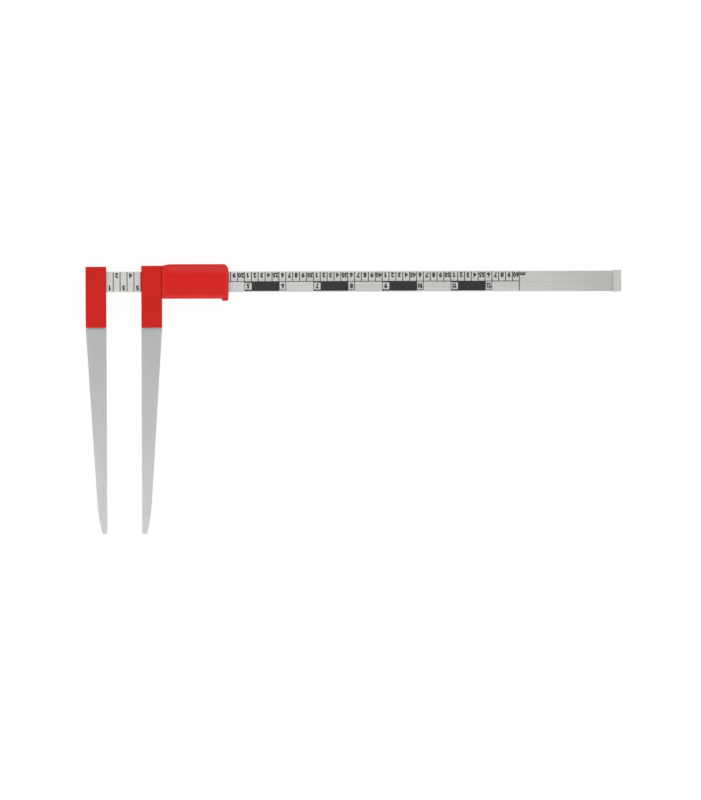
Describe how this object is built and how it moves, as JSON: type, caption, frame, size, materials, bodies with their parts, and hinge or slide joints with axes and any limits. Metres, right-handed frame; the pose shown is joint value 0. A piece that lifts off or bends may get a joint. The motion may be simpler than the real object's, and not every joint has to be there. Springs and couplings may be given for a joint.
{
  "type": "log caliper",
  "caption": "Log caliper with a hollow scale beam, a fixed and a sliding tapered blade in moulded heads, and a domed grip on the slider, for measuring the diameter of logs.",
  "frame": {"origin": "middle of the caliper's box, on the rear plane that it lies on", "axes": "+X along the beam from the fixed jaw to the end cap, +Y away from the blades, +Z out of the scale face"},
  "size_m": [0.779, 0.3906, 0.0252],
  "materials": {
    "beam_aluminium": "satin lacquered extrusion with a printed scale",
    "blade_aluminium": "satin",
    "plain_aluminium": "mill finish",
    "head_plastic": "moulded, satin",
    "grip_plastic": "moulded, satin",
    "cap_plastic": "moulded, satin",
    "steel": "zinc plated",
    "spring_steel": "blued spring strip",
    "acetal": "machined"
  },
  "bodies": {
    "beam_assembly": {"beam": "beam_aluminium", "end_cap": "cap_plastic", "end_cap_screw": "steel", "fixed_head": "head_plastic", "fixed_blade": "blade_aluminium", "beam_insert": "plain_aluminium", "fixed_head_screws": "steel", "fixed_blade_screws": "steel"},
    "sliding_jaw": {"carriage": "plain_aluminium", "sliding_head": "head_plastic", "sliding_blade": "blade_aluminium", "sliding_head_screws": "steel", "sliding_blade_screws": "steel", "grip_front_shell": "grip_plastic", "grip_rear_shell": "grip_plastic", "grip_screws": "steel", "lower_glide_pads": "acetal", "front_glide_pads": "acetal", "rear_glide_pads": "acetal", "gib": "acetal", "gib_spring": "spring_steel", "adjuster_nuts": "steel", "mouth_bush": "acetal"},
    "jaw_side_adjuster": {"jaw_side_adjuster": "steel"},
    "end_side_adjuster": {"end_side_adjuster": "steel"}
  },
  "joints": [
    {"name": "jaw_slide", "type": "slide", "parent": "beam_assembly", "child": "sliding_jaw", "axis": [1, 0, 0], "range_m": [-0.0506, 0.5601]},
    {"name": "jaw_side_adjuster_turn", "type": "hinge", "parent": "sliding_jaw", "child": "jaw_side_adjuster", "pos_m": [-0.2619, 0.19, 0.0104], "axis": [0, 1, 0], "range_deg": [-180, 180]},
    {"name": "end_side_adjuster_turn", "type": "hinge", "parent": "sliding_jaw", "child": "end_side_adjuster", "pos_m": [-0.2226, 0.19, 0.0104], "axis": [0, 1, 0], "range_deg": [-180, 180]}
  ]
}
